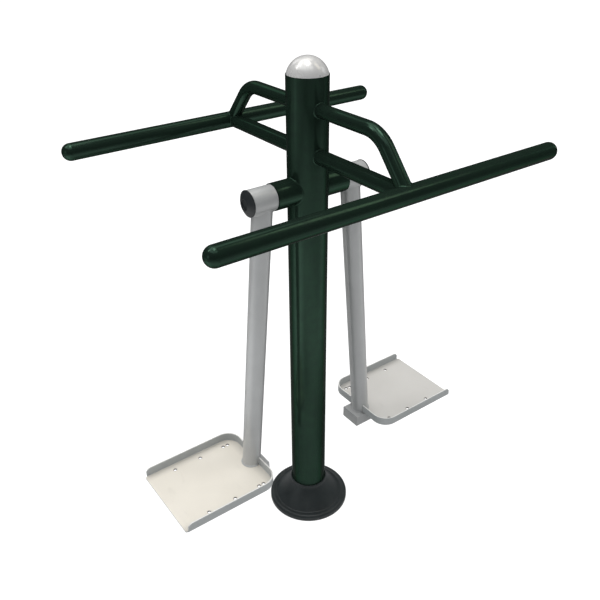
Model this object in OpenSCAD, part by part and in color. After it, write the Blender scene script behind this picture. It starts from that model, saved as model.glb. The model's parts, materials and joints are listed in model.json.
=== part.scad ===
// Two-station standing pendulum for a park: a round post with two parallel
// handlebars, and a splayed arm with a foot tray hung from each end of a cross
// axle. Millimetres. +Z is up, the origin is on the ground under the post's
// centre, +X runs along the handlebars and the axle.

/* [Base] */
// Diameter of the flange that is bolted to the foundation
flange_d = 230; // [210:2:240]
// Thickness of the flange
flange_t = 10; // [8:1:14]
// Circle on which the four anchor holes lie
anchor_pcd = 170; // [160:2:176]
// Diameter of each anchor hole
anchor_d = 18; // [14:1:20]
// Height of the ribs between post and flange
gusset_h = 52; // [35:1:60]
// Reach of the ribs from the post
gusset_w = 44; // [30:1:46]
// Thickness of the ribs
gusset_t = 8; // [5:1:10]
// Radius of the base cover at the ground
cover_r = 134; // [130:1:145]
// Height of the shoulder of the base cover
cover_h = 82; // [78:1:100]
// Wall of the base cover
cover_wall = 3; // [2:0.5:4]

/* [Post] */
// Outer diameter of the main post
post_d = 114; // [108:1:120]
// Wall of the main post
post_wall = 4; // [3:0.5:5]
// Height of the post's top edge
post_top = 1463; // [1430:1:1500]
// Height of the dome above the post's top edge
dome_h = 45; // [35:1:50]
// Radius of the dome where it meets the post
dome_r = 55.4; // [54:0.1:56]

/* [Handlebars and bracket] */
// Outer diameter of the handlebars
bar_d = 48; // [42:1:52]
// Wall of the handlebars
bar_wall = 3; // [2:0.5:4]
// Overall length of a handlebar with its round ends
bar_len = 1064; // [900:2:1200]
// Height of the handlebars' centre lines
bar_z = 1260; // [1240:1:1280]
// Distance of a handlebar from the middle of the post
bar_y = 383.5; // [360:0.5:410]
// Outer diameter of the straight lower bracket tube
low_d = 42; // [38:1:44]
// Height of the lower bracket tube's centre line
low_z = 1259; // [1255:1:1265]
// Outer diameter of the bent upper bracket tube
up_d = 38; // [32:1:40]
// Height of the upper bracket tube's level part
up_z = 1381; // [1365:1:1400]
// Distance from the middle at which the upper tube starts to bend
up_y = 235; // [215:1:250]
// Centre line radius of the bends
bend_r = 95; // [80:1:105]
// Wall of both bracket tubes
bracket_wall = 2.5; // [2:0.5:3]

/* [Axle] */
// Outer diameter of the axle tube
axle_d = 76; // [74:1:80]
// Wall of the axle tube
axle_wall = 4; // [3.5:0.5:4]
// Height of the axle
axle_z = 1159; // [1145:1:1170]
// Half the length of the axle tube
axle_half = 119; // [118:0.5:119.5]
// Diameter of the shaft in the bearings
shaft_d = 30; // [30:1:30]
// Diameter of the shaft's threaded ends
thread_d = 24; // [22:1:26]
// Width across the flats of the shaft nuts
nut_af = 36; // [34:1:38]

/* [Swing] */
// Swing to each side of the vertical, in degrees
swing_deg = 35; // [25:1:38]
// Half the angle that the stop dog covers, in degrees
dog_half = 12; // [10:1:13]

/* [Hub] */
// Outer diameter of the hub sleeve
hub_d = 72; // [70:1:75]
// Inner face of the hub, measured from the post's middle
hub_in = 120; // [120:0.5:120.5]
// Outer face of the hub
hub_out = 193; // [190:1:200]
// Largest radius of the hub cap
cap_r = 37; // [36.5:0.5:39]
// Outer face of the hub cap
cap_out = 206; // [205:1:212]
// Radius of the recess in the hub cap
recess_r = 14.5; // [12:0.5:15]

/* [Arm and tray] */
// Outer diameter of the swing arm
arm_d = 58; // [54:1:60]
// Wall of the swing arm
arm_wall = 3; // [2.5:0.5:4]
// Arm's distance from the post's middle at axle height
arm_top_x = 148.7; // [147:0.1:152]
// Arm's distance from the post's middle under the tray
arm_low_x = 228; // [222:0.5:236]
// Height of the tray's upper surface
tray_z = 281; // [260:1:320]
// Thickness of the tray's sheet
tray_t = 4; // [3:0.5:5]
// Inner edge of the tray, from the post's middle
tray_in = 214; // [206:1:222]
// Open outer edge of the tray, from the post's middle
tray_out = 536; // [500:1:560]
// Width of the tray
tray_w = 278; // [250:2:300]
// Height of the rim over the tray's underside
rim_h = 32; // [26:1:40]
// Radius of the tray's two inner corners, seen from above
corner_r = 50; // [35:1:60]
// Inside radius of the fold between floor and rim
fold_r = 3; // [2:0.5:8]
// Diameter of the small holes along the tray's sides
hole_d = 10; // [6:0.5:10]
// Width of the box beam under the tray
beam_w = 76; // [70:1:80]
// Height of the box beam
beam_h = 40; // [34:1:46]
// Inner end of the box beam
beam_in = 184; // [178:1:192]
// Outer end of the box beam
beam_out = 430; // [400:1:450]

/* [Hidden] */
$fn = 96;

post_bore = post_d / 2 - post_wall;
// Upper tube: the bend angle that brings its end onto the handlebar's centre line
up_run = bar_y - up_y;
up_drop = up_z - bar_z - bend_r;
bend_deg = asin(bend_r / sqrt(up_run * up_run + up_drop * up_drop)) + atan2(up_drop, up_run);
leg_y = up_y + bend_r * sin(bend_deg);
leg_z = up_z - bend_r * (1 - cos(bend_deg));
leg_len = (leg_z - bar_z) / sin(bend_deg);

// Stations along the axle, from the post's middle outwards
axle_bore = axle_d / 2 - axle_wall;
disc_in = axle_half - 24;
disc_out = axle_half - 12;
brg_w = 16;                     // width of a bearing, bore 30, outside 62
brg_or = 31;
ball_pitch = 23;
ball_r = 4.8;
groove_r = 4.95;
balls = 9;
seal_or = 26;
brg1 = hub_in + 8;              // first bearing starts on the hub's shoulder
spacer_l = 18;
brg2 = brg1 + brg_w + spacer_l;
clip_x = brg2 + brg_w;
nut_x = clip_x + 4;
nut_h = 12;
shaft_end = nut_x + nut_h + 2;
sleeve_r = 19;

// Swing stops, angles counted from straight down
stop_gap = 0.6;
buffer_a = swing_deg + dog_half + stop_gap;
buffer_b = buffer_a + 7;
block_b = buffer_b + 28;

// Tray and arm
tray_bot = tray_z - tray_t;
rim_top = tray_bot + rim_h;
arm_tilt = atan2(arm_low_x - arm_top_x, axle_z - tray_bot);
arm_len = (axle_z - tray_bot) / cos(arm_tilt);
plate_t = 3;
rim_short = 7;
rim_round = 16;
hole_y = tray_w / 2 - 31;
hole_x = [253, 269, 355, 445];

// Places its children with their Z axis along the axle
module on_axle() {
    translate([0, 0, axle_z]) rotate([0, 90, 0]) children();
}

// Draws for the right side, or mirrored for the left
module side(s) {
    if (s < 0) mirror([1, 0, 0]) children();
    else children();
}

// Ring on the axle from x0 to x1
module axle_ring(r_out, r_in, x0, x1) {
    on_axle() difference() {
        translate([0, 0, x0]) cylinder(r = r_out, h = x1 - x0);
        translate([0, 0, x0 - 1]) cylinder(r = r_in, h = x1 - x0 + 2);
    }
}

// Part of a ring on the axle between two angles, counted from straight down
module axle_sector(r_in, r_out, x0, x1, a0, a1) {
    on_axle() rotate([0, 0, a0]) translate([0, 0, x0])
        rotate_extrude(angle = a1 - a0) translate([r_in, 0]) square([r_out - r_in, x1 - x0]);
}

// ---- Base and post ----

module base_flange() {
    color("dimgray") difference() {
        cylinder(d = flange_d, h = flange_t);
        translate([0, 0, -1]) cylinder(d = 60, h = flange_t + 2);
        for (a = [45 : 90 : 315])
            rotate([0, 0, a]) translate([anchor_pcd / 2, 0, -1])
                cylinder(d = anchor_d, h = flange_t + 2);
    }
}

module base_gussets() {
    color("dimgray") difference() {
        for (a = [0 : 90 : 270])
            rotate([0, 0, a]) translate([post_d / 2 - 2, gusset_t / 2, flange_t]) rotate([90, 0, 0])
                linear_extrude(gusset_t)
                    polygon([[0, 0], [gusset_w + 2, 0], [gusset_w + 2, 8], [10, gusset_h], [0, gusset_h]]);
        cylinder(d = post_d, h = 200);
    }
}

function reversed(v) = [for (i = [len(v) - 1 : -1 : 0]) v[i]];
function arc(r0, z0, r, a0, a1, n) = [for (i = [0 : n]) let (t = a0 + (a1 - a0) * i / n) [r0 + r * cos(t), z0 + r * sin(t)]];

// The bell is a flare: a circular arc, hollow side out, from the rolled rim up to the neck
module base_cover() {
    w = cover_wall;
    crease = cover_r - 21.5;
    neck = post_d / 2 + 4.5;
    dr = crease - neck;
    dz = cover_h - 17;
    half = 10;
    flare_r = norm([dr, dz]) / 2 / sin(half);
    cr = (crease + neck) / 2 + dz / norm([dr, dz]) * flare_r * cos(half);
    cz = (17 + cover_h) / 2 + dr / norm([dr, dz]) * flare_r * cos(half);
    a_low = 180 + atan2(cz - 17, cr - crease);
    a_top = 180 + atan2(cz - cover_h, cr - neck);
    a_in = 180 + asin((cz - cover_h + w) / (flare_r + w));
    color([0.13, 0.14, 0.15]) rotate_extrude()
        polygon(concat(
            [[cover_r, 0]],
            arc(cover_r - 10, 9, 10, 0, 88, 12),
            [[crease + 1.6, 18]],
            arc(cr, cz, flare_r, a_low, a_top, 24),
            arc(neck - 0.6, cover_h + 3, 2.4, -70, 0, 4),
            arc(post_d / 2 + 2.4, cover_h + 6, 1.8, 20, 170, 6),
            [[post_d / 2, cover_h + 6], [post_d / 2, cover_h - w]],
            arc(cr, cz, flare_r + w, a_in, a_low, 24),
            arc(cover_r - 10, 9, 10 - w, 88, 0, 10),
            [[cover_r - w, 0]]));
}

module main_post() {
    color("darkgreen") difference() {
        translate([0, 0, flange_t]) cylinder(d = post_d, h = post_top - flange_t);
        translate([0, 0, flange_t - 1]) cylinder(r = post_bore, h = post_top);
        translate([0, 0, low_z]) rotate([90, 0, 0]) cylinder(d = low_d, h = post_d + 10, center = true);
        translate([0, 0, up_z]) rotate([90, 0, 0]) cylinder(d = up_d, h = post_d + 10, center = true);
        on_axle() cylinder(d = axle_d, h = post_d + 10, center = true);
    }
}

module post_cap() {
    rs = (dome_r * dome_r + dome_h * dome_h) / (2 * dome_h);
    zc = post_top + dome_h - rs;
    color("silver") union() {
        difference() {
            intersection() {
                translate([0, 0, zc]) sphere(r = rs);
                translate([-100, -100, post_top]) cube([200, 200, 100]);
            }
            translate([0, 0, zc]) sphere(r = rs - 3);
        }
        difference() {
            translate([0, 0, post_top - 28]) cylinder(r = post_bore, h = 30);
            translate([0, 0, post_top - 29]) cylinder(r = post_bore - 3, h = 32);
        }
    }
}

// ---- Bracket and handlebars ----

module bar_bodies(extra = 0) {
    for (s = [-1, 1])
        translate([0, s * bar_y, bar_z]) rotate([0, 90, 0]) cylinder(d = bar_d + extra, h = 300, center = true);
}

module lower_bracket_tube() {
    color("darkgreen") difference() {
        translate([0, 0, low_z]) rotate([90, 0, 0]) cylinder(d = low_d, h = 2 * bar_y, center = true);
        translate([0, 0, low_z]) rotate([90, 0, 0]) cylinder(d = low_d - 2 * bracket_wall, h = 2 * bar_y + 2, center = true);
        bar_bodies();
    }
}

// Section of the upper tube; in the bends it draws in by 0.15 on each side, as a bent tube does
module up_section(draw = 0) {
    difference() {
        circle(d = up_d - draw);
        circle(d = up_d - 2 * bracket_wall + draw);
    }
}

module upper_bracket_tube() {
    color("darkgreen") difference() {
        union() {
            translate([0, 0, up_z]) rotate([90, 0, 0]) linear_extrude(2 * up_y, center = true) up_section();
            for (s = [0, 1]) mirror([0, s, 0]) {
                translate([0, up_y, up_z - bend_r]) rotate([0, -90, 0])
                    rotate_extrude(angle = bend_deg) translate([bend_r, 0]) up_section(0.3);
                translate([0, leg_y, leg_z]) rotate([-(90 + bend_deg), 0, 0])
                    linear_extrude(leg_len) up_section();
            }
        }
        // the legs' ends are coped to the handlebars and to the lower tube
        bar_bodies();
        translate([0, 0, low_z]) rotate([90, 0, 0]) cylinder(d = low_d, h = 2 * bar_y, center = true);
    }
}

module handlebar(y) {
    tube_l = bar_len - bar_d;
    color("darkgreen") translate([0, y, bar_z]) rotate([0, 90, 0]) difference() {
        cylinder(d = bar_d, h = tube_l, center = true);
        cylinder(d = bar_d - 2 * bar_wall, h = tube_l + 2, center = true);
    }
}
module near_handlebar() { handlebar(-bar_y); }
module far_handlebar() { handlebar(bar_y); }

module handlebar_end_caps() {
    x0 = (bar_len - bar_d) / 2;
    color("darkgreen") for (s = [-1, 1], t = [-1, 1]) side(s) translate([0, t * bar_y, bar_z]) union() {
        intersection() {
            translate([x0, 0, 0]) sphere(d = bar_d);
            translate([x0, -50, -50]) cube([100, 100, 100]);
        }
        translate([x0 - 18, 0, 0]) rotate([0, 90, 0]) difference() {
            cylinder(d = bar_d - 2 * bar_wall, h = 18);
            translate([0, 0, -1]) cylinder(d = bar_d - 2 * bar_wall - 6, h = 15);
        }
    }
}

// ---- Axle, fixed pieces ----

module axle_tube() {
    color("darkgreen") on_axle() difference() {
        cylinder(d = axle_d, h = 2 * axle_half, center = true);
        cylinder(r = axle_bore, h = 2 * axle_half + 2, center = true);
    }
}

module axle_end_discs() {
    color("gray") for (s = [-1, 1]) side(s) union() {
        axle_ring(axle_bore, shaft_d / 2, disc_in, disc_out);
        for (t = [0, 1]) mirror([0, t, 0])
            axle_sector(24, axle_bore - 1, disc_out - 1, axle_half - 2, buffer_b, block_b);
    }
}

module stop_buffers() {
    color("black") for (s = [-1, 1], t = [0, 1]) side(s) mirror([0, t, 0])
        axle_sector(24.5, axle_bore - 1.5, disc_out, axle_half - 2, buffer_a, buffer_b);
}

module axle_shaft() {
    color("silver") on_axle() union() {
        cylinder(d = shaft_d, h = 2 * (clip_x - 1), center = true);
        for (s = [0, 1]) mirror([0, 0, s]) {
            translate([0, 0, clip_x - 2]) cylinder(d = thread_d, h = shaft_end - clip_x + 0.5);
            translate([0, 0, shaft_end - 1.5]) cylinder(d1 = thread_d, d2 = thread_d - 3, h = 1.5, $fn = 96);
        }
    }
}

module thrust_sleeves() {
    color("silver") for (s = [-1, 1]) side(s) axle_ring(sleeve_r, shaft_d / 2, disc_out, brg1);
}

module ball_grooves(x0) {
    on_axle() translate([0, 0, x0 + brg_w / 2]) rotate_extrude() translate([ball_pitch, 0]) circle(r = groove_r);
}

module bearing_inner_rings() {
    color("lightgray") for (s = [-1, 1], x0 = [brg1, brg2]) side(s) difference() {
        axle_ring(20, shaft_d / 2, x0, x0 + brg_w);
        ball_grooves(x0);
    }
}

module inner_ring_spacers() {
    color("silver") for (s = [-1, 1]) side(s) axle_ring(18.5, shaft_d / 2, brg1 + brg_w, brg2);
}

module retaining_washers() {
    color("silver") for (s = [-1, 1]) side(s) axle_ring(22, thread_d / 2, clip_x, nut_x);
}

module shaft_nuts() {
    color("silver") for (s = [-1, 1]) side(s) on_axle() difference() {
        translate([0, 0, nut_x]) cylinder(d = nut_af / cos(30), h = nut_h, $fn = 6);
        translate([0, 0, nut_x - 1]) cylinder(d = thread_d, h = nut_h + 2);
    }
}

// ---- Pendulum, one side ----

module hub_sleeve(s) {
    color("silver") side(s) on_axle() difference() {
        translate([0, 0, hub_in]) cylinder(d = hub_d, h = hub_out - hub_in);
        translate([0, 0, hub_in - 1]) cylinder(r = seal_or, h = 20);
        translate([0, 0, brg1]) cylinder(r = brg_or, h = hub_out);
        translate([0, 0, clip_x]) cylinder(r = brg_or + 1.5, h = 2);
    }
}

module stop_dog(s) {
    color("gray") side(s) axle_sector(26.5, axle_bore - 1, disc_out + 3, hub_in, -dog_half, dog_half);
}

module shaft_seal(s) {
    color("black") side(s) axle_ring(seal_or, sleeve_r + 0.05, hub_in + 1, hub_in + 7);
}

module bearing_outer_rings(s) {
    color("lightgray") for (x0 = [brg1, brg2]) side(s) difference() {
        axle_ring(brg_or, 26.5, x0, x0 + brg_w);
        ball_grooves(x0);
    }
}

module bearing_balls(s) {
    color("white") for (x0 = [brg1, brg2], i = [0 : balls - 1]) side(s) on_axle()
        rotate([0, 0, 360 * i / balls]) translate([ball_pitch, 0, x0 + brg_w / 2]) sphere(r = ball_r);
}

module bearing_cages(s) {
    color("goldenrod") for (x0 = [brg1, brg2]) side(s) difference() {
        axle_ring(ball_pitch + 1, ball_pitch - 1, x0 + 2, x0 + brg_w - 2);
        on_axle() for (i = [0 : balls - 1])
            rotate([0, 0, 360 * i / balls]) translate([ball_pitch - 3, 0, x0 + brg_w / 2])
                rotate([0, 90, 0]) cylinder(r = ball_r + 0.3, h = 6);
    }
}

module outer_ring_spacer(s) {
    color("silver") side(s) axle_ring(brg_or, 28, brg1 + brg_w, brg2);
}

module circlip(s) {
    color("dimgray") side(s) axle_sector(27.5, brg_or + 1.4, clip_x, clip_x + 1.8, 20, 340);
}

module hub_cap(s) {
    color([0.18, 0.2, 0.21]) side(s) on_axle() rotate_extrude()
        polygon(concat(
            [[brg_or, hub_out - 9], [brg_or, hub_out], [cap_r - 0.6, hub_out], [cap_r, hub_out + 0.6],
             [cap_r, hub_out + 1.4], [cap_r - 0.7, hub_out + 2.3]],
            [for (i = [1 : 8]) let (t = i / 8)
                [cap_r - 0.7 - (cap_r - recess_r - 3.2) * t, hub_out + 2.3 + (cap_out - hub_out - 2.3) * (1.25 * t - 0.25 * t * t)]],
            [[recess_r + 0.8, cap_out], [recess_r, cap_out - 0.8], [recess_r - 0.5, cap_out - 4], [0, cap_out - 4],
             [0, cap_out - 6.5], [recess_r + 2, cap_out - 6.5],
             [brg_or - 3, hub_out + 1], [brg_or - 3, hub_out - 9]]));
}

// Full round body of the arm, used for the tube and to cut its way through the tray
module arm_body(d, extra = 0) {
    translate([arm_top_x, 0, axle_z]) rotate([0, 180 - arm_tilt, 0]) cylinder(d = d, h = arm_len + extra);
}

module swing_arm(s) {
    color("silver") side(s) difference() {
        arm_body(arm_d, 30);
        arm_body(arm_d - 2 * arm_wall, 31);
        on_axle() translate([0, 0, hub_in - 10]) cylinder(d = hub_d, h = hub_out - hub_in + 20);
        translate([0, -100, tray_bot - 100]) cube([400, 200, 100]);
    }
}

// Bar of rectangular section along X with rounded long edges
module round_bar(x0, x1, w, h, r) {
    translate([x0, -w / 2 + r, -h / 2]) cube([x1 - x0, w - 2 * r, h]);
    translate([x0, -w / 2, -h / 2 + r]) cube([x1 - x0, w, h - 2 * r]);
    for (i = [-1, 1], j = [-1, 1])
        translate([x0, i * (w / 2 - r), j * (h / 2 - r)]) rotate([0, 90, 0]) cylinder(r = r, h = x1 - x0);
}

module tray_beam(s) {
    color("silver") side(s) translate([0, 0, tray_bot - beam_h / 2]) difference() {
        round_bar(beam_in + plate_t, beam_out - plate_t, beam_w, beam_h, 3);
        translate([beam_in - 1, -beam_w / 2 + plate_t, -beam_h / 2 + plate_t])
            cube([beam_out, beam_w - 2 * plate_t, beam_h - 2 * plate_t]);
    }
}

module beam_end_plates(s) {
    color("silver") side(s) translate([0, 0, tray_bot - beam_h / 2]) {
        round_bar(beam_in, beam_in + plate_t, beam_w, beam_h, 3);
        round_bar(beam_out - plate_t, beam_out, beam_w, beam_h, 3);
    }
}

// Section of the folded edge: x is the distance outwards, y the height over the underside,
// and the outer face of the rim is at x = w
module fold_section(w, x0) {
    translate([x0, 0]) square([w - fold_r - tray_t - x0, tray_t]);
    translate([w - tray_t, fold_r + tray_t]) square([tray_t, rim_h - fold_r - tray_t]);
    intersection() {
        difference() {
            translate([w - fold_r - tray_t, fold_r + tray_t]) circle(r = fold_r + tray_t);
            translate([w - fold_r - tray_t, fold_r + tray_t]) circle(r = fold_r);
        }
        translate([w - fold_r - tray_t, 0]) square([fold_r + tray_t, fold_r + tray_t]);
    }
}

module foot_tray(s) {
    hw = tray_w / 2;
    cx = tray_in + corner_r;
    cy = hw - corner_r;
    color("whitesmoke") side(s) difference() {
        union() {
            // floor
            translate([cx, -cy, tray_bot]) cube([tray_out - cx, 2 * cy, tray_t]);
            for (t = [0, 1]) mirror([0, t, 0]) {
                // long side with its rim
                translate([cx, cy, tray_bot]) rotate([90, 0, 90]) linear_extrude(tray_out - cx) fold_section(corner_r, 0);
                // inner corner
                translate([cx, cy, tray_bot]) rotate([0, 0, 90]) rotate_extrude(angle = 90) fold_section(corner_r, 0);
            }
            // inner side with its rim
            translate([cx, cy, tray_bot]) rotate([90, 0, 0]) mirror([1, 0, 0])
                linear_extrude(2 * cy) fold_section(corner_r, 0);
        }
        // the two long rims end short of the open edge, with round shoulders
        for (t = [-1, 1]) translate([tray_out, t * hw, rim_top]) rotate([90, 0, 0]) {
            translate([-rim_short, tray_t - rim_h, -20]) cube([rim_short + 1, rim_h, 40]);
            difference() {
                translate([-rim_short - rim_round, -rim_round, -20]) cube([rim_round + 1, rim_round + 1, 40]);
                translate([-rim_short - rim_round, -rim_round, -21]) cylinder(r = rim_round, h = 42);
            }
        }
        // round outer corners of the floor
        for (t = [0, 1]) mirror([0, t, 0]) translate([tray_out - 6, hw - 11, tray_bot - 1]) difference() {
            cube([20, 20, tray_t + 1.5]);
            translate([0, 0, -1]) cylinder(r = 6, h = tray_t + 4);
        }
        // small holes along both sides
        for (x = hole_x, t = [-1, 1])
            translate([x, t * hole_y, tray_bot - 1]) cylinder(d = hole_d, h = tray_t + 2);
        // way for the arm through the rim and the floor
        arm_body(arm_d, 30);
    }
}

module left_hub_sleeve() { hub_sleeve(-1); }
module left_stop_dog() { stop_dog(-1); }
module left_shaft_seal() { shaft_seal(-1); }
module left_bearing_outer_rings() { bearing_outer_rings(-1); }
module left_bearing_balls() { bearing_balls(-1); }
module left_bearing_cages() { bearing_cages(-1); }
module left_outer_ring_spacer() { outer_ring_spacer(-1); }
module left_circlip() { circlip(-1); }
module left_hub_cap() { hub_cap(-1); }
module left_swing_arm() { swing_arm(-1); }
module left_tray_beam() { tray_beam(-1); }
module left_beam_end_plates() { beam_end_plates(-1); }
module left_foot_tray() { foot_tray(-1); }
module right_hub_sleeve() { hub_sleeve(1); }
module right_stop_dog() { stop_dog(1); }
module right_shaft_seal() { shaft_seal(1); }
module right_bearing_outer_rings() { bearing_outer_rings(1); }
module right_bearing_balls() { bearing_balls(1); }
module right_bearing_cages() { bearing_cages(1); }
module right_outer_ring_spacer() { outer_ring_spacer(1); }
module right_circlip() { circlip(1); }
module right_hub_cap() { hub_cap(1); }
module right_swing_arm() { swing_arm(1); }
module right_tray_beam() { tray_beam(1); }
module right_beam_end_plates() { beam_end_plates(1); }
module right_foot_tray() { foot_tray(1); }

base_flange();
base_gussets();
base_cover();
main_post();
post_cap();
lower_bracket_tube();
upper_bracket_tube();
near_handlebar();
far_handlebar();
handlebar_end_caps();
axle_tube();
axle_end_discs();
stop_buffers();
axle_shaft();
thrust_sleeves();
bearing_inner_rings();
inner_ring_spacers();
retaining_washers();
shaft_nuts();
left_hub_sleeve();
left_stop_dog();
left_shaft_seal();
left_bearing_outer_rings();
left_bearing_balls();
left_bearing_cages();
left_outer_ring_spacer();
left_circlip();
left_hub_cap();
left_swing_arm();
left_tray_beam();
left_beam_end_plates();
left_foot_tray();
right_hub_sleeve();
right_stop_dog();
right_shaft_seal();
right_bearing_outer_rings();
right_bearing_balls();
right_bearing_cages();
right_outer_ring_spacer();
right_circlip();
right_hub_cap();
right_swing_arm();
right_tray_beam();
right_beam_end_plates();
right_foot_tray();
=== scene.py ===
import json
import math

import bmesh
import bpy
from mathutils import Matrix, Vector
from mathutils.geometry import delaunay_2d_cdt


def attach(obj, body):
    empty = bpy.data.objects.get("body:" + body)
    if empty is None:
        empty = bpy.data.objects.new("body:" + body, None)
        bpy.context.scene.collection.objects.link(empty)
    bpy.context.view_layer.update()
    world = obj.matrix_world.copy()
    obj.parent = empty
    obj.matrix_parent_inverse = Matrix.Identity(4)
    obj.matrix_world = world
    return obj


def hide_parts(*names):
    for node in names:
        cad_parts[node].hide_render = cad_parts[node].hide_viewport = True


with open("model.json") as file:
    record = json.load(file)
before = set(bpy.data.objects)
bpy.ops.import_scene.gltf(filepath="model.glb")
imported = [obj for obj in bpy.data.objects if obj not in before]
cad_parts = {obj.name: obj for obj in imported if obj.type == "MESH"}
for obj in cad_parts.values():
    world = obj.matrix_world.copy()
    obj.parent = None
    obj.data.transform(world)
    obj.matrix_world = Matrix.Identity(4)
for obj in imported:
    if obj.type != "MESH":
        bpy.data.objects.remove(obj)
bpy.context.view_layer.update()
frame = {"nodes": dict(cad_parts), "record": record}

NODES = frame["nodes"]
TAU = 2 * math.pi
X, Y, Z = Vector((1, 0, 0)), Vector((0, 1, 0)), Vector((0, 0, 1))

# ---------------------------------------------------------------- sizes, in metres, as in the construction
POST_R, POST_TOP = 0.057, 1.463
BAR_R, BAR_Y, BAR_Z = 0.024, 0.3835, 1.260
LOW_R, LOW_Z = 0.021, 1.259
UP_R, UP_WALL, UP_Z, UP_Y, BEND_R = 0.019, 0.0025, 1.381, 0.235, 0.095
AXLE_R, AXLE_Z = 0.038, 1.159
HUB_R, HUB_IN, HUB_OUT, CAP_OUT = 0.036, 0.120, 0.193, 0.206
ARM_R, ARM_TOP_X, ARM_LOW_X = 0.029, 0.1487, 0.228
TRAY_BOT, TRAY_T, TRAY_IN, TRAY_OUT, TRAY_HW = 0.277, 0.004, 0.214, 0.536, 0.139
HOLE_X, HOLE_Y = (0.253, 0.269, 0.355, 0.445), 0.108
RIM_H, CORNER_R, FOLD_R = 0.032, 0.050, 0.003
TRAY_TOP = TRAY_BOT + TRAY_T
BEAM_W = 0.076
ARM_TAN = (ARM_LOW_X - ARM_TOP_X) / (AXLE_Z - TRAY_BOT)
ARM_COS = 1 / math.sqrt(1 + ARM_TAN * ARM_TAN)


# ================================================================ node helpers
class Tree:
    """Short calls for building a material's nodes."""

    def __init__(self, name):
        self.mat = bpy.data.materials.new(name)
        self.mat.use_nodes = True
        self.nt = self.mat.node_tree
        self.nt.nodes.clear()
        self.out = self.add("ShaderNodeOutputMaterial")
        self.bsdf = self.add("ShaderNodeBsdfPrincipled")
        self.link(self.bsdf.outputs[0], self.out.inputs[0])
        self.co = self.add("ShaderNodeTexCoord").outputs["Object"]
        self.geo = self.add("ShaderNodeNewGeometry")

    def add(self, kind):
        return self.nt.nodes.new(kind)

    def link(self, a, b):
        self.nt.links.new(a, b)

    def put(self, socket, value):
        if hasattr(value, "is_linked") or hasattr(value, "links"):
            self.link(value, socket)
        else:
            socket.default_value = value

    def noise(self, scale, detail=3.0, rough=0.5, distortion=0.0, vec=None):
        n = self.add("ShaderNodeTexNoise")
        n.inputs["Scale"].default_value = scale
        n.inputs["Detail"].default_value = detail
        n.inputs["Roughness"].default_value = rough
        n.inputs["Distortion"].default_value = distortion
        self.link(vec or self.co, n.inputs["Vector"])
        return n.outputs["Fac"]

    def voronoi(self, scale, vec=None, feature="F1", out="Distance"):
        n = self.add("ShaderNodeTexVoronoi")
        n.feature = feature
        n.inputs["Scale"].default_value = scale
        self.link(vec or self.co, n.inputs["Vector"])
        return n.outputs[out]

    def stretch(self, sx, sy, sz, vec=None):
        n = self.add("ShaderNodeMapping")
        n.inputs["Scale"].default_value = (sx, sy, sz)
        self.link(vec or self.co, n.inputs["Vector"])
        return n.outputs[0]

    def rng(self, v, a, b, c, d, smooth=False):
        n = self.add("ShaderNodeMapRange")
        if smooth:
            n.interpolation_type = "SMOOTHSTEP"
        for k, x in zip(("From Min", "From Max", "To Min", "To Max"), (a, b, c, d)):
            n.inputs[k].default_value = x
        self.link(v, n.inputs["Value"])
        return n.outputs["Result"]

    def math(self, op, a, b=0.0):
        n = self.add("ShaderNodeMath")
        n.operation = op
        self.put(n.inputs[0], a)
        self.put(n.inputs[1], b)
        return n.outputs[0]

    def mix(self, fac, a, b):
        n = self.add("ShaderNodeMix")
        n.data_type = "RGBA"
        self.put(n.inputs[0], fac)
        for s, v in ((n.inputs[6], a), (n.inputs[7], b)):
            if isinstance(v, tuple):
                s.default_value = (*v, 1)
            else:
                self.link(v, s)
        return n.outputs[2]

    def xyz(self, v):
        n = self.add("ShaderNodeSeparateXYZ")
        self.link(v, n.inputs[0])
        return n.outputs

    def bump(self, height, strength, distance, normal=None):
        n = self.add("ShaderNodeBump")
        n.inputs["Strength"].default_value = strength
        n.inputs["Distance"].default_value = distance
        self.link(height, n.inputs["Height"])
        if normal is not None:
            self.link(normal, n.inputs["Normal"])
        return n.outputs[0]

    def set(self, **kw):
        for k, v in kw.items():
            self.put(self.bsdf.inputs[k.replace("_", " ")], v)
        return self


# ================================================================ materials
def green_paint(name="green_paint"):
    t = Tree(name)
    broad = t.noise(5.0, 3, 0.55)
    mottle = t.noise(38.0, 4, 0.6)
    base = t.mix(t.rng(broad, 0.3, 0.7, 0, 1), (0.0275, 0.0560, 0.0395), (0.0325, 0.0650, 0.0450))
    base = t.mix(t.rng(mottle, 0.40, 0.75, 0.0, 0.5), base, (0.0270, 0.0425, 0.0370))
    # a thin film of dust on what faces up, in drifts
    up = t.rng(t.xyz(t.geo.outputs["Normal"])[2], 0.55, 1.0, 0, 1, True)
    dust = t.math("MULTIPLY", up, t.rng(t.noise(23.0, 5, 0.65), 0.45, 0.8, 0.0, 0.06))
    base = t.mix(dust, base, (0.10, 0.13, 0.09))
    scratch = t.noise(90.0, 5, 0.6, 0.0, t.stretch(0.35, 1.0, 2.2))
    rough = t.math("ADD", t.rng(mottle, 0.3, 0.7, 0.14, 0.20), t.rng(scratch, 0.62, 0.8, 0.0, 0.12))
    rough = t.math("ADD", rough, t.math("MULTIPLY", dust, 1.5))
    peel = t.noise(420.0, 2, 0.5)
    wave = t.noise(34.0, 2, 0.5)
    n = t.bump(wave, 0.10, 0.0008)
    n = t.bump(peel, 0.06, 0.0003, n)
    t.set(Base_Color=base, Roughness=rough, Normal=n)
    t.set(Specular_IOR_Level=0.10, Metallic=0.68)
    t.bsdf.inputs["Specular Tint"].default_value = (0.10, 0.22, 0.14, 1)
    return t.mat


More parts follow.
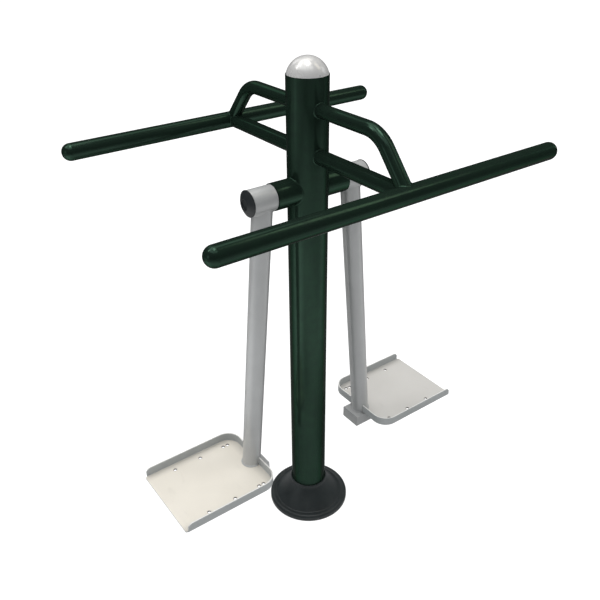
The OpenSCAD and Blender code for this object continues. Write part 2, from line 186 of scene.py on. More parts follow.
def silver(name, tone, metal, rough, flake=0.05, coat=0.25, warm=(1.0, 1.0, 1.0)):
    t = Tree(name)
    lo = tuple(tone * 0.90 * w for w in warm)
    hi = tuple(tone * 1.08 * w for w in warm)
    broad = t.noise(6.0, 3, 0.55)
    base = t.mix(t.rng(broad, 0.3, 0.7, 0, 1), lo, hi)
    cell = t.voronoi(1500.0, out="Color")
    spark = t.rng(t.xyz(cell)[0], 0.0, 1.0, -flake, flake)
    bright = t.add("ShaderNodeBrightContrast")
    t.link(base, bright.inputs["Color"])
    t.link(spark, bright.inputs["Bright"])
    up = t.rng(t.xyz(t.geo.outputs["Normal"])[2], 0.6, 1.0, 0, 1, True)
    grime = t.math("MULTIPLY", up, t.rng(t.noise(19.0, 5, 0.65), 0.5, 0.85, 0.0, 0.16))
    base = t.mix(grime, bright.outputs[0], (0.33, 0.31, 0.27))
    scratch = t.noise(70.0, 5, 0.65, 0.0, t.stretch(1.0, 1.0, 0.22))
    r = t.math("ADD", t.rng(broad, 0.3, 0.7, rough - 0.03, rough + 0.05), t.rng(scratch, 0.6, 0.8, 0.0, 0.10))
    n = t.bump(t.noise(420.0, 2, 0.5), 0.10, 0.0004)
    t.set(Base_Color=base, Roughness=r, Normal=n, Metallic=metal, Coat_Weight=coat, Coat_Roughness=0.12)
    return t.mat


def tray_paint(name="tray_paint"):
    t = Tree(name)
    broad = t.noise(7.0, 3, 0.5)
    facing = t.xyz(t.co.node.outputs["Normal"])[2]      # the tray's own, so that it holds when the tray swings
    up = t.rng(facing, 0.55, 0.97, 0, 1, True)
    place = t.xyz(t.co)
    # painted light: the right tray's floor is painted cooler and darker than the left's, standing in for less warm
    # light on it
    warm = t.mix(t.rng(broad, 0.3, 0.7, 0, 1), (0.762, 0.718, 0.636), (0.812, 0.767, 0.684))
    painted_shade_floor = t.mix(t.rng(broad, 0.3, 0.7, 0, 1), (0.606, 0.591, 0.563), (0.649, 0.634, 0.606))
    floor = t.mix(t.rng(place[0], -0.1, 0.1, 0, 1), warm, painted_shade_floor)
    # painted shade: sideways faces, the rims, are painted a darker grey than the up-facing floor of the same paint
    side = t.mix(t.rng(broad, 0.3, 0.7, 0, 1), (0.412, 0.430, 0.430), (0.468, 0.487, 0.487))
    base = t.mix(up, side, floor)
    # shoe scuffs on the standing surface: short soft grey strokes
    scuff = t.noise(30.0, 6, 0.7, 0.6, t.stretch(1.0, 0.28, 1.0))
    scuff = t.math("MULTIPLY", up, t.rng(scuff, 0.60, 0.78, 0.0, 0.12))
    base = t.mix(scuff, base, (0.36, 0.33, 0.29))
    fine = t.math("MULTIPLY", up, t.rng(t.noise(260.0, 4, 0.7), 0.55, 0.8, 0.0, 0.08))
    base = t.mix(fine, base, (0.48, 0.44, 0.38))
    ax, ay = t.math("ABSOLUTE", place[0]), t.math("ABSOLUTE", place[1])
    # painted shade: the floor is darkened grey in a band along the foot of the side rims and the inner end
    drift = t.rng(t.noise(14.0, 3, 0.5), 0.3, 0.7, 0.8, 1.1)
    edge = t.math("MAXIMUM", t.rng(ay, TRAY_HW - 0.032, TRAY_HW - 0.004, 0, 1), t.rng(ax, TRAY_IN + 0.034, TRAY_IN + 0.004, 0, 1))
    low = t.rng(place[2], TRAY_TOP + 0.002, TRAY_TOP + 0.004, 0.42, 0.0)
    edge = t.math("MULTIPLY", t.math("MULTIPLY", edge, low), t.math("MULTIPLY", drift, up))
    base = t.mix(edge, base, (0.30, 0.29, 0.27))
    # painted highlight: the rim's narrow up-facing top edge is painted pale
    rim_top_painted_highlight = t.math("MULTIPLY", t.rng(place[2], TRAY_BOT + 0.008, TRAY_BOT + 0.012, 0, 1), t.rng(facing, 0.35, 0.8, 0, 0.85))
    base = t.mix(rim_top_painted_highlight, base, (0.80, 0.80, 0.78))
    # painted shade: the drain holes' walls are painted near black, and a faint brown ring is painted round each hole
    near = None
    for hx in HOLE_X:
        dx, dy = t.math("SUBTRACT", ax, hx), t.math("SUBTRACT", ay, HOLE_Y)
        d = t.math("SQRT", t.math("ADD", t.math("MULTIPLY", dx, dx), t.math("MULTIPLY", dy, dy)))
        near = d if near is None else t.math("MINIMUM", near, d)
    base = t.mix(t.rng(near, 0.0054, 0.0061, 0.88, 0.0, True), base, (0.045, 0.045, 0.042))
    base = t.mix(t.rng(near, 0.0061, 0.0095, 0.16, 0.0, True), base, (0.22, 0.18, 0.14))
    rough = t.math("ADD", t.rng(broad, 0.3, 0.7, 0.40, 0.48), t.math("MULTIPLY", scuff, 0.8))
    n = t.bump(t.noise(300.0, 3, 0.55), 0.14, 0.0005)
    t.set(Base_Color=base, Roughness=rough, Normal=n, Metallic=0.0, Coat_Weight=0.10, Coat_Roughness=0.2)
    return t.mat


def black_plastic(name, tone, rough, grain=0.22, spec=0.40):
    t = Tree(name)
    broad = t.noise(9.0, 4, 0.6)
    base = t.mix(t.rng(broad, 0.3, 0.7, 0, 1), tuple(c * 0.85 for c in tone), tuple(c * 1.15 for c in tone))
    up = t.rng(t.xyz(t.geo.outputs["Normal"])[2], 0.2, 1.0, 0, 1, True)
    dust = t.math("MULTIPLY", up, t.rng(t.noise(26.0, 5, 0.7), 0.42, 0.8, 0.0, 0.10))
    base = t.mix(dust, base, (0.15, 0.155, 0.15))
    r = t.math("ADD", t.rng(broad, 0.3, 0.7, rough - 0.04, rough + 0.05), t.math("MULTIPLY", dust, 1.0))
    n = t.bump(t.voronoi(900.0), grain, 0.0003)
    n = t.bump(t.noise(60.0, 3, 0.5), 0.08, 0.0008, n)
    t.set(Base_Color=base, Roughness=r, Normal=n, Specular_IOR_Level=spec)
    return t.mat


def rubber(name="rubber"):
    t = Tree(name)
    n1 = t.noise(80.0, 4, 0.6)
    t.set(Base_Color=t.mix(n1, (0.012, 0.012, 0.012), (0.024, 0.024, 0.023)),
          Roughness=t.rng(n1, 0.3, 0.7, 0.62, 0.75), Normal=t.bump(t.noise(600.0, 3, 0.6), 0.2, 0.0003))
    return t.mat


def metal(name, tone, rough, lines=(1.0, 1.0, 1.0), spangle=False):
    t = Tree(name)
    if spangle:
        v = t.voronoi(160.0, out="Color")
        f = t.rng(t.xyz(v)[0], 0, 1, 0, 1)
    else:
        f = t.noise(300.0, 3, 0.6, 0.0, t.stretch(*lines))
    base = t.mix(f, tuple(c * 0.86 for c in tone), tuple(min(1, c * 1.08) for c in tone))
    t.set(Base_Color=base, Metallic=1.0, Roughness=t.rng(f, 0.2, 0.8, rough - 0.05, rough + 0.08),
          Normal=t.bump(f, 0.12, 0.0002))
    return t.mat


MATS = {
    "green_paint": green_paint(),
    "silver_dome": silver("silver_dome", 0.790, 0.24, 0.265, 0.02, 0.50, (1.0, 0.99, 0.975)),
    "silver_paint": silver("silver_paint", 0.505, 0.13, 0.30, 0.025, 0.40, (0.985, 1.0, 1.0)),
    "tray_paint": tray_paint(),
    "black_cover": black_plastic("black_cover", (0.0210, 0.0274, 0.0290), 0.39, spec=0.47),
    "charcoal_cap": black_plastic("charcoal_cap", (0.0165, 0.0206, 0.0229), 0.46, 0.14),
    "black_rubber": rubber("black_rubber"),
    "zinc_steel": metal("zinc_steel", (0.56, 0.58, 0.58), 0.38, spangle=True),
    "machined_steel": metal("machined_steel", (0.62, 0.62, 0.61), 0.26, (8.0, 1.0, 1.0)),
    "bearing_steel": metal("bearing_steel", (0.70, 0.70, 0.70), 0.14, (5.0, 1.0, 1.0)),
    "cage_brass": metal("cage_brass", (0.62, 0.45, 0.20), 0.28, (4.0, 1.0, 1.0)),
}
for entry in frame["record"]["subparts"]:
    node = NODES[entry["node"]]
    node.data.materials.clear()
    node.data.materials.append(MATS[entry["material_slot"]])


# ================================================================ mesh helpers
def finish_mesh(name, bm, slot, body, replaces=(), sharp=38.0, mods=None):
    bmesh.ops.recalc_face_normals(bm, faces=bm.faces)
    me = bpy.data.meshes.new(name)
    bm.to_mesh(me)
    bm.free()
    ob = bpy.data.objects.new(name, me)
    bpy.context.scene.collection.objects.link(ob)
    if mods:
        mods(ob)
        dg = bpy.context.evaluated_depsgraph_get()
        new = bpy.data.meshes.new_from_object(ob.evaluated_get(dg))
        ob.modifiers.clear()
        ob.data = new
        me = new
        me.name = name
    for p in me.polygons:
        p.use_smooth = True
    me.set_sharp_from_angle(angle=math.radians(sharp))
    me.materials.clear()
    me.materials.append(MATS[slot])
    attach(ob, body)
    if replaces:
        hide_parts(*replaces)
    return ob


def lathe(bm, profile, origin, axis, side, n=128):
    """Turns a closed outline of (radius, distance along axis) about the axis. side is a direction square to it."""
    other = axis.cross(side)
    rings = []
    for r, h in profile:
        c = origin + axis * h
        if r < 1e-7:
            rings.append([bm.verts.new(c)] * n)
        else:
            rings.append([bm.verts.new(c + side * (r * math.cos(TAU * i / n)) + other * (r * math.sin(TAU * i / n))) for i in range(n)])
    k = len(rings)
    for a in range(k):
        p, q = rings[a], rings[(a + 1) % k]
        for i in range(n):
            j = (i + 1) % n
            loop = []
            for v in (p[i], p[j], q[j], q[i]):
                if v not in loop:
                    loop.append(v)
            if len(loop) > 2:
                bm.faces.new(loop)


def arc2(cx, cy, r, a0, a1, n):
    return [(cx + r * math.cos(math.radians(a0 + (a1 - a0) * i / n)), cy + r * math.sin(math.radians(a0 + (a1 - a0) * i / n))) for i in range(n + 1)]


def cyl_hit(p, d, a, w, r):
    """Distance along d from p to the first crossing of the cylinder about a, w with radius r, or None."""
    q = p - a
    q = q - w * q.dot(w)
    e = d - w * d.dot(w)
    aa, bb, cc = e.dot(e), q.dot(e), q.dot(q) - r * r
    disc = bb * bb - aa * cc
    if disc < 0 or aa < 1e-12:
        return None
    return (-bb - math.sqrt(disc)) / aa


def bead(bm, stations, leg, closed, pitch=0.0024, amp=0.07, steps=6):
    """Fillet weld along stations of (point, direction on one surface, direction on the other)."""
    n = len(stations)
    s, total = [0.0], 0.0
    for i in range(1, n + (1 if closed else 0)):
        total += (stations[i % n][0] - stations[i - 1][0]).length
        s.append(total)
    count = max(1, round(total / pitch))
    rings = []
    for i, (p, a, b) in enumerate(stations):
        size = leg
        if not closed:
            edge = min(s[i], total - s[i]) / (1.4 * leg)
            edge = max(0.0, min(1.0, edge))
            size = leg * (0.25 + 0.75 * math.sqrt(edge * (2 - edge)))
        ring = []
        for k in range(steps + 1):
            psi = 0.5 * math.pi * k / steps
            wave = math.cos(TAU * count * s[i] / total - 1.5 * math.sin(2 * psi))
            drift = 0.5 * math.sin(17.0 * s[i] / total * TAU / 5 + 1.3) * 0.04
            L = size * (1 + drift + amp * wave * math.sin(2 * psi))
            ring.append(bm.verts.new(p + a * (L * math.cos(psi) ** 1.3) + b * (L * math.sin(psi) ** 1.3)))
        ring.append(bm.verts.new(p - (a + b) * (0.28 * size)))
        rings.append(ring)
    m = len(rings[0])
    for i in range(n if closed else n - 1):
        p, q = rings[i], rings[(i + 1) % n]
        for k in range(m):
            bm.faces.new((p[k], p[(k + 1) % m], q[(k + 1) % m], q[k]))
    if not closed:
        bm.faces.new(rings[0])
        bm.faces.new(rings[-1])


def tube_joint(c, d, e1, e2, r, targets, n, arc=None):
    """Stations where a tube of radius r about c, running along d, meets the first of the targets (a, w, R) or planes ("z", height)."""
    out = []
    a0, a1 = arc or (0.0, TAU)
    count = n if arc is None else n + 1
    for i in range(count):
        th = a0 + (a1 - a0) * i / n
        e = e1 * math.cos(th) + e2 * math.sin(th)
        p = c + e * r
        best = None
        for t in targets:
            if t[0] == "z":
                hit = (t[1] - p.z) / d.z
                nrm = Z.copy()
            else:
                hit = cyl_hit(p, d, *t)
                if hit is None:
                    continue
                q = p + d * hit - t[0]
                nrm = (q - t[1] * q.dot(t[1])).normalized()
            if best is None or hit < best[0]:
                best = (hit, nrm)
        q = p + d * best[0]
        b = (e - best[1] * e.dot(best[1])).normalized()
        out.append((q, -d, b))
    return out


# ================================================================ post and bracket
def sx(s, v):
    """Mirrors a vector to the left side when s is -1."""
    return Vector((v[0] * s, v[1], v[2]))


def upper_tube():
    run, drop = BAR_Y - UP_Y, UP_Z - BAR_Z - BEND_R
    bend = math.asin(BEND_R / math.hypot(run, drop)) + math.atan2(drop, run)
    bm = bmesh.new()
    n = 64
    centre, tangent = [], []
    for i in range(25):
        a = bend * (1 - i / 24)
        centre.append(Vector((0, -UP_Y - BEND_R * math.sin(a), UP_Z - BEND_R * (1 - math.cos(a)))))
        tangent.append(Vector((0, math.cos(a), math.sin(a))))
    half = len(centre)
    for i in range(half - 1, -1, -1):
        centre.append(Vector((0, -centre[i].y, centre[i].z)))
        tangent.append(Vector((0, tangent[i].y, -tangent[i].z)))
    leg_d = tangent[-1]
    targets = lambda s: [(Vector((0, s * BAR_Y, BAR_Z)), X, BAR_R), (Vector((0, 0, LOW_Z)), Y, LOW_R)]
    rings = []
    for r in (UP_R, UP_R - UP_WALL):
        col = []
        for c, tg in zip(centre, tangent):
            nrm = tg.cross(X)
            col.append([c + X * (r * math.cos(TAU * i / n)) + nrm * (r * math.sin(TAU * i / n)) for i in range(n)])
        ends = []
        for s, c, tg in ((-1, centre[0], tangent[0]), (1, centre[-1], tangent[-1])):
            nrm = tg.cross(X)
            d = tg * s
            ring = []
            for i in range(n):
                p = c + X * (r * math.cos(TAU * i / n)) + nrm * (r * math.sin(TAU * i / n))
                hits = [h for h in (cyl_hit(p, d, *t) for t in targets(s)) if h is not None]
                ring.append(p + d * (min(hits) + 0.0008))
            ends.append(ring)
        col = [ends[0]] + col + [ends[1]]
        rings.append([[bm.verts.new(p) for p in ring] for ring in col])
    outer, inner = rings
    for col in rings:
        for a, b in zip(col, col[1:]):
            for i in range(n):
                bm.faces.new((a[i], a[(i + 1) % n], b[(i + 1) % n], b[i]))
    for a, b in ((outer[0], inner[0]), (outer[-1], inner[-1])):
        for i in range(n):
            bm.faces.new((a[i], a[(i + 1) % n], b[(i + 1) % n], b[i]))
    finish_mesh("upper_bracket_bend", bm, "green_paint", "frame", ("upper_bracket_tube",))
    # welds at the handlebars, and round the tube at the post
    bm = bmesh.new()
    for s in (-1, 1):
        c, tg = (centre[0], tangent[0]) if s < 0 else (centre[-1], tangent[-1])
        d = tg * s
        bead(bm, tube_joint(c, d, X, d.cross(X), UP_R, targets(s), 330), 0.0026, True)
    for s in (-1, 1):
        bead(bm, tube_joint(Vector((0, s * 0.3, UP_Z)), Y * -s, X, Z, UP_R, [(Vector(), Z, POST_R)], 300), 0.0027, True)
    finish_mesh("upper_tube_welds", bm, "green_paint", "frame", sharp=70)


def lower_tube_welds():
    bm = bmesh.new()
    for s in (-1, 1):
        bead(bm, tube_joint(Vector((0, s * 0.3, LOW_Z)), Y * -s, X, Z, LOW_R, [(Vector(), Z, POST_R)], 330), 0.0027, True)
        bead(bm, tube_joint(Vector((0, s * 0.3, LOW_Z)), Y * s, X, Z, LOW_R, [(Vector((0, s * BAR_Y, BAR_Z)), X, BAR_R)], 330), 0.0025, True)
    finish_mesh("lower_tube_welds", bm, "green_paint", "frame", sharp=70)
    bm = bmesh.new()
    for s in (-1, 1):
        bead(bm, tube_joint(Vector((s * 0.119, 0, AXLE_Z)), X * -s, Y, Z, AXLE_R, [(Vector(), Z, POST_R)], 560), 0.0026, True)
    finish_mesh("axle_tube_welds", bm, "green_paint", "frame", sharp=70)


def dome():
    rs = (0.0554 ** 2 + 0.045 ** 2) / (2 * 0.045)
    zc = POST_TOP + 0.045 - rs
    prof = [(0.053, POST_TOP - 0.028), (0.053, POST_TOP + 0.0002), (0.0551, POST_TOP + 0.0002)]
    a0 = math.degrees(math.asin((POST_TOP + 0.0009 - zc) / rs))
    prof += [(0.0555, POST_TOP + 0.0004), (rs * math.cos(math.radians(a0)) + 0.0001, POST_TOP + 0.0007)]
    prof += [(max(0.0, x), z) for x, z in arc2(0, zc, rs, a0, 90, 40)]
    prof += [(max(0.0, x), z) for x, z in arc2(0, zc, rs - 0.003, 90, math.degrees(math.asin((POST_TOP + 0.002 - zc) / (rs - 0.003))), 24)]
    prof += [(0.050, POST_TOP), (0.050, POST_TOP - 0.028)]
    bm = bmesh.new()
    lathe(bm, prof, Vector(), Z, X, 128)
    finish_mesh("post_dome", bm, "silver_dome", "frame", ("post_cap",), sharp=50)


def cover():
    R, H, w = 0.134, 0.082, 0.003
    crease, neck = R - 0.0215, POST_R + 0.0045
    dr, dz, half = crease - neck, H - 0.017, math.radians(10)
    chord = math.hypot(dr, dz)
    fr = chord / 2 / math.sin(half)
    cr = (crease + neck) / 2 + dz / chord * fr * math.cos(half)
    cz = (0.017 + H) / 2 + dr / chord * fr * math.cos(half)
    a_low = 180 + math.degrees(math.atan2(cz - 0.017, cr - crease))
    a_top = 180 + math.degrees(math.atan2(cz - H, cr - neck))
    a_in = 180 + math.degrees(math.asin((cz - H + w) / (fr + w)))
    prof = [(R, 0.0)] + arc2(R - 0.010, 0.009, 0.010, 0, 86, 20)
    # the moulded line where the flare meets the rolled rim
    prof += [(R - 0.0130, 0.0188), (crease + 0.0052, 0.0180), (crease + 0.0030, 0.0174), (crease + 0.0016, 0.0173), (crease + 0.0006, 0.0175)]
    prof += arc2(cr, cz, fr, a_low - 0.4, a_top + 1.2, 60)
    prof += [(neck + 0.0004, H - 0.0002)] + arc2(neck - 0.0006, H + 0.003, 0.0024, -66, 0, 8)
    prof += arc2(POST_R + 0.0024, H + 0.006, 0.0018, 20, 170, 14)
    prof += [(POST_R, H + 0.006), (POST_R, H - w)]
    prof += arc2(cr, cz, fr + w, a_in, a_low, 40)
    prof += arc2(R - 0.010, 0.009, 0.010 - w, 88, 0, 12) + [(R - w, 0.0)]
    bm = bmesh.new()
    lathe(bm, prof, Vector(), Z, X, 160)
    bmesh.ops.remove_doubles(bm, verts=bm.verts, dist=1e-6)
    finish_mesh("base_cover_shell", bm, "black_cover", "frame", ("base_cover",), sharp=60)


# ================================================================ pendulums
def hub(s, side, body):
    o, ax = Vector((0, 0, AXLE_Z)), X * s
    e = 0.0014
    prof = [(0.026, HUB_IN), (0.0345, HUB_IN)] + arc2(HUB_R - e, HUB_IN + e, e, -90, 0, 6)[1:]
    prof = [(r, h) for r, h in prof]
    prof += arc2(HUB_R - e, HUB_OUT - e, e, 0, 90, 6)
    prof += [(0.031, HUB_OUT), (0.031, 0.180), (0.0325, 0.180), (0.0325, 0.178), (0.031, 0.178), (0.031, 0.128), (0.026, 0.128)]
    bm = bmesh.new()
    lathe(bm, prof, o, ax, Z, 128)
    finish_mesh(side + "_hub_shell", bm, "silver_paint", body, (side + "_hub_sleeve",), sharp=50)
    ro, rr = 0.037, 0.0145
    prof = [(0.031, HUB_OUT - 0.009), (0.031, HUB_OUT), (ro - 0.0007, HUB_OUT)]
    prof += arc2(ro - 0.0007, HUB_OUT + 0.0007, 0.0007, -60, 0, 4)
    prof += [(ro, HUB_OUT + 0.0013)]
    for i in range(5):
        a = math.radians(18 * i)
        prof.append((ro - 0.0007 + 0.0007 * math.cos(a), HUB_OUT + 0.0014 + 0.0009 * math.sin(a)))
    for i in range(1, 31):
        t = i / 30
        prof.append((ro - 0.0007 - (ro - rr - 0.0032) * t, HUB_OUT + 0.0023 + (CAP_OUT - HUB_OUT - 0.0023) * (1.25 * t - 0.25 * t * t)))
    prof += [(rr + 0.0016, CAP_OUT)] + [(rr + 0.0008 + 0.0008 * math.cos(math.radians(a)) * 0 - 0.0008 * math.sin(math.radians(a)) + 0.0008 * 0,
                                       CAP_OUT - 0.0008 + 0.0008 * math.cos(math.radians(a))) for a in (0, 22.5, 45, 67.5, 90)]
    prof += [(rr - 0.0005, CAP_OUT - 0.0034), (rr - 0.0009, CAP_OUT - 0.0039), (rr - 0.0016, CAP_OUT - 0.004), (0, CAP_OUT - 0.004),
             (0, CAP_OUT - 0.0065), (rr + 0.002, CAP_OUT - 0.0065), (0.028, HUB_OUT + 0.001), (0.028, HUB_OUT - 0.009)]
    bm = bmesh.new()
    lathe(bm, prof, o, ax, Z, 128)
    bmesh.ops.remove_doubles(bm, verts=bm.verts, dist=1e-7)
    finish_mesh(side + "_hub_end_cap", bm, "charcoal_cap", body, (side + "_hub_cap",), sharp=50)


def arm_welds(s, side, body):
    down = Vector((ARM_TAN, 0, -1)).normalized()
    e2 = down.cross(Y)
    top = Vector((ARM_TOP_X, 0, AXLE_Z))
    low = top + down * 0.5

    def mirrored(st):
        return [(sx(s, p), sx(s, a), sx(s, b)) for p, a, b in st]

    bm = bmesh.new()
    bead(bm, mirrored(tube_joint(low, -down, e2, Y, ARM_R, [(Vector((0, 0, AXLE_Z)), X, HUB_R)], 470)), 0.0028, True)
    # at the tray's floor, and outside the rim on the beam
    sign = 1 if e2.x > 0 else -1
    a = math.radians(99)
    mid = 0.0 if sign > 0 else math.pi
    bead(bm, mirrored(tube_joint(low, down, e2, Y, ARM_R, [("z", TRAY_TOP)], 240, (mid - a, mid + a))), 0.0034, False)
    a = math.radians(60)
    bead(bm, mirrored(tube_joint(low, down, e2, Y, ARM_R, [("z", TRAY_BOT)], 150, (mid + math.pi - a, mid + math.pi + a))), 0.0034, False)
    # up the rim where it is cut out round the arm
    for t in (-1, 1):
        st = []
        for i in range(36):
            z = 0.2860 + 0.0210 * i / 35
            xc = ARM_TOP_X + (AXLE_Z - z) * ARM_TAN
            x = TRAY_IN + TRAY_T
            y = math.sqrt(ARM_R ** 2 - ((x - xc) * ARM_COS) ** 2)
            nrm = Vector(((x - xc) / ARM_R, y / ARM_R, 0)).normalized()
            tan = Vector((nrm.y, -nrm.x, 0))
            st.append((Vector((x, t * y, z)), Vector((0, t, 0)), Vector((tan.x, t * tan.y, 0))))
        bead(bm, mirrored(st), 0.0026, False)
    # stitches between the beam and the tray's underside
    for t in (-1, 1):
        for x0 in (0.250, 0.318, 0.386):
            st = []
            for i in range(90):
                x = x0 + 0.036 * i / 89
                st.append((Vector((x, t * BEAM_W / 2 - t * 0.0006, TRAY_BOT)), Vector((0, t, 0)), Vector((0, t * 0.05, -1)).normalized()))
            bead(bm, mirrored(st), 0.0034, False)
    for v in bm.verts:                           # the bead at the hub stays off the axle tube's end
        if abs(v.co.x) < 0.1206:
            v.co.x = 0.1206 * s
    finish_mesh(side + "_arm_welds", bm, "silver_paint", body, sharp=70)


def trays():
    """The pressed tray's upper skin as one sheet, thickened downwards and outwards, with all its edges broken.
    It is made once, on the left, and mirrored."""
    s = -1
    bm = bmesh.new()
    cache = {}

    def vert(p):
        k = (round(p[0], 6), round(p[1], 6), round(p[2], 6))
        if k not in cache:
            cache[k] = bm.verts.new((p[0] * s, p[1], p[2]))
        return cache[k]

    def face(*ps):
        loop = []
        for p in ps:
            v = vert(p)
            if v not in loop:
                loop.append(v)
        if len(loop) > 2 and bm.faces.get(loop) is None:
            bm.faces.new(loop)

    z0 = TRAY_TOP
    off = FOLD_R + TRAY_T                       # where the fold starts, from the outer face
    fold = []                                   # (distance in from the outer face, height)
    for i in range(7):
        a = math.radians(90 - 15 * i)
        fold.append((off - FOLD_R * math.cos(a), z0 + FOLD_R - FOLD_R * math.sin(a)))
    rim_top = TRAY_BOT + RIM_H
    x_end = TRAY_OUT - 0.007
    x_sh = x_end - 0.016

    def top_at(x):
        return rim_top if x <= x_sh else rim_top - 0.016 + math.sqrt(max(0.0, 0.016 ** 2 - (x - x_sh) ** 2))

    def profile(top):
        pts = list(fold)
        a, b = fold[-1][1], top
        pts += [(TRAY_T, a + (b - a) * k / 3) for k in (1, 2, 3)]
        return pts

    # stations of the side that carries the rim: (point on the outer face, direction inwards, x for the height)
    def notch_y(x, z):
        xc = ARM_TOP_X + (AXLE_Z - z) * ARM_TAN
        v = ARM_R ** 2 - ((x - xc) * ARM_COS) ** 2
        return math.sqrt(max(0.0, v))

    for t in (-1, 1):
        rows = []
        xs = [x_end - 0.016 * (1 - math.sin(math.radians(9 * i))) for i in range(10, -1, -1)]
        n_long = 22
        xs += [x_sh + (TRAY_IN + CORNER_R - x_sh) * i / n_long for i in range(1, n_long + 1)]
        for x in xs:
            rows.append([Vector((x, t * (TRAY_HW - w), z)) for w, z in profile(top_at(x))])
        for i in range(1, 17):
            a = math.radians(90 * i / 16)
            c = Vector((TRAY_IN + CORNER_R, t * (TRAY_HW - CORNER_R), 0))
            rows.append([c + Vector((-math.sin(a) * (CORNER_R - w), t * math.cos(a) * (CORNER_R - w), z)) for w, z in profile(rim_top)])
        y0 = TRAY_HW - CORNER_R
        for i in range(1, 7):
            row = []
            for w, z in profile(rim_top):
                y1 = notch_y(TRAY_IN + w, z) + 0.0006
                row.append(Vector((TRAY_IN + w, t * (y0 + (y1 - y0) * i / 6), z)))
            rows.append(row)
        for p, q in zip(rows, rows[1:]):
            for k in range(len(p) - 1):
                face(p[k], p[k + 1], q[k + 1], q[k])
        if t < 0:
            edge_neg = [r[0] for r in rows]
        else:
            edge_pos = [r[0] for r in rows]

    # the flat floor: its outline, ring by ring round the holes, and a grid of points between
    outline = [Vector((p.x, p.y)) for p in edge_neg]                      # from the open end inwards along -y
    last = edge_neg[-1]
    ym = abs(last.y)
    xc = ARM_TOP_X + (AXLE_Z - z0) * ARM_TAN
    ra = (ARM_R + 0.0006) / ARM_COS
    rb = ARM_R + 0.0006
    a_m = math.atan2(ym / rb, (last.x - xc) / ra)
    notch = [Vector((xc + ra * math.cos(a_m * (1 - i / 12)), -rb * math.sin(a_m * (1 - i / 12)))) for i in range(1, 24)]
    outline += notch
    outline += [Vector((p.x, p.y)) for p in reversed(edge_pos)]
    ear = []
    ye = TRAY_HW - off
    xe = x_end
    ear.append(Vector((xe, TRAY_HW - 0.005)))
    c6 = Vector((TRAY_OUT - 0.006, TRAY_HW - 0.011))
    ear += [c6 + Vector((0.006 * math.sin(math.radians(a)), 0.006 * math.cos(math.radians(a)))) for a in (0, 15, 30, 45, 60, 75, 90)]
    n_open = 24
    top_y = c6.y
    straight = [Vector((TRAY_OUT, top_y - 2 * top_y * i / n_open)) for i in range(1, n_open)]
    outline += ear + straight + [Vector((p.x, -p.y)) for p in reversed(ear)]
    holes = []
    hx, hy = HOLE_X, HOLE_Y
    nh = 28
    bounds2 = []
    for x in hx:
        for t in (-1, 1):
            inner = [Vector((x + 0.005 * math.cos(TAU * i / nh), t * hy + 0.005 * math.sin(TAU * i / nh))) for i in range(nh)]
            outer = [Vector((x + 0.0071 * math.cos(TAU * i / nh), t * hy + 0.0071 * math.sin(TAU * i / nh))) for i in range(nh)]
            holes.append((Vector((x, t * hy)), inner, outer))
            for i in range(nh):
                j = (i + 1) % nh
                face(*[Vector((p.x, p.y, z0)) for p in (inner[i], inner[j], outer[j], outer[i])])
    pts, edges = [], []

    def loop(points):
        b = len(pts)
        pts.extend(points)
        edges.extend((b + i, b + (i + 1) % len(points)) for i in range(len(points)))

    loop(outline)
    for _, _, outer in holes:
        loop(outer)
    poly = outline

    def inside(q):
        hit = False
        for i in range(len(poly)):
            a, b = poly[i], poly[(i + 1) % len(poly)]
            if (a.y > q.y) != (b.y > q.y) and q.x < (b.x - a.x) * (q.y - a.y) / (b.y - a.y) + a.x:
                hit = not hit
        return hit

    def clear(q, d):
        for i in range(len(poly)):
            a, b = poly[i], poly[(i + 1) % len(poly)]
            ab = b - a
            k = max(0.0, min(1.0, (q - a).dot(ab) / max(ab.length_squared, 1e-12)))
            if (q - a - ab * k).length < d:
                return False
        return all((q - c).length > 0.0071 + d for c, _, _ in holes)

    gx = int((TRAY_OUT - TRAY_IN) / 0.0125)
    gy = int(2 * TRAY_HW / 0.0125)
    for i in range(gx + 1):
        for j in range(gy + 1):
            q = Vector((TRAY_IN + 0.0125 * i, -TRAY_HW + 0.0125 * (j + 0.5 * (i % 2))))
            if inside(q) and clear(q, 0.0055):
                pts.append(q)
    vs, _, fs, _, _, _ = delaunay_2d_cdt(pts, edges, [], 0, 1e-7)
    for f in fs:
        c = sum((vs[i] for i in f), Vector((0, 0))) / len(f)
        u, v = vs[f[1]] - vs[f[0]], vs[f[2]] - vs[f[0]]
        if abs(u.x * v.y - u.y * v.x) > 4e-9 and inside(c) and all((c - h).length > 0.0072 for h, _, _ in holes):
            face(*[Vector((vs[i].x, vs[i].y, z0)) for i in f])
    bmesh.ops.remove_doubles(bm, verts=bm.verts, dist=3e-5)
    bmesh.ops.recalc_face_normals(bm, faces=bm.faces)
    up = [f for f in bm.faces if abs(f.normal.z) > 0.99 and f.calc_center_median().z < z0 + 1e-5]
    if sum(f.normal.z for f in up) < 0:
        bmesh.ops.reverse_faces(bm, faces=bm.faces)
    me = bpy.data.meshes.new("tray_skin")
    bm.to_mesh(me)
    bm.free()
    ob = bpy.data.objects.new("tray_skin", me)
    bpy.context.scene.collection.objects.link(ob)
    m = ob.modifiers.new("thick", "SOLIDIFY")
    m.thickness = TRAY_T
    m.offset = -1
    m.use_even_offset = True
    m.use_quality_normals = True
    m = ob.modifiers.new("edge", "BEVEL")
    m.width = 0.0008
    m.segments = 3
    m.limit_method = "ANGLE"
    m.angle_limit = math.radians(50)
    m.use_clamp_overlap = True
    dg = bpy.context.evaluated_depsgraph_get()
    new = bpy.data.meshes.new_from_object(ob.evaluated_get(dg))
    bpy.data.objects.remove(ob)
    for side, t in (("left", 1), ("right", -1)):
        bm = bmesh.new()
        bm.from_mesh(new)
        for v in bm.verts:
            v.co.x *= t
